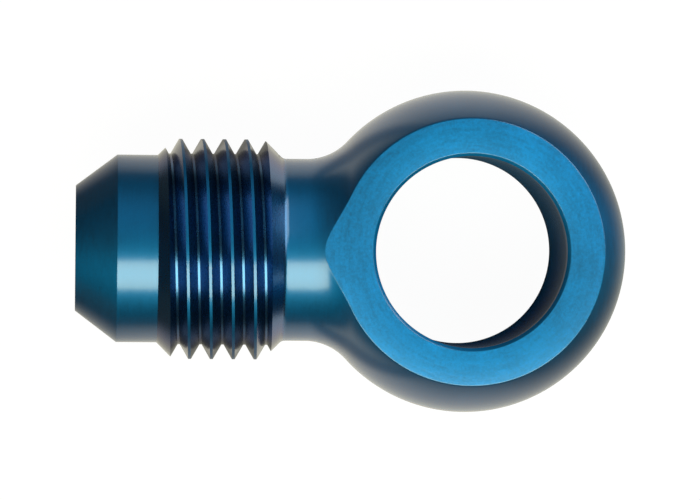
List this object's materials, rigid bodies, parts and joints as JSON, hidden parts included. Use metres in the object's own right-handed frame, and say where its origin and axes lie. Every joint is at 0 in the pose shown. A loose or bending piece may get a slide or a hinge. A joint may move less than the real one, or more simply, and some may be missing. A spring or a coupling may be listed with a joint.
{
  "type": "banjo fitting",
  "caption": "Banjo fitting: a faced ball eye bored for a hollow bolt, on a short stem with a flared, externally threaded hose end.",
  "frame": {"origin": "centre of the eye, on the axis of the banjo bore and half way between the two flats", "axes": "+Z along the banjo bore, +X along the stem and out of the hose end"},
  "size_m": [0.0356, 0.0208, 0.0142],
  "materials": {
    "blue_anodised": "blue anodised"
  },
  "bodies": {
    "root": {"fitting_body": "blue_anodised"}
  },
  "joints": []
}
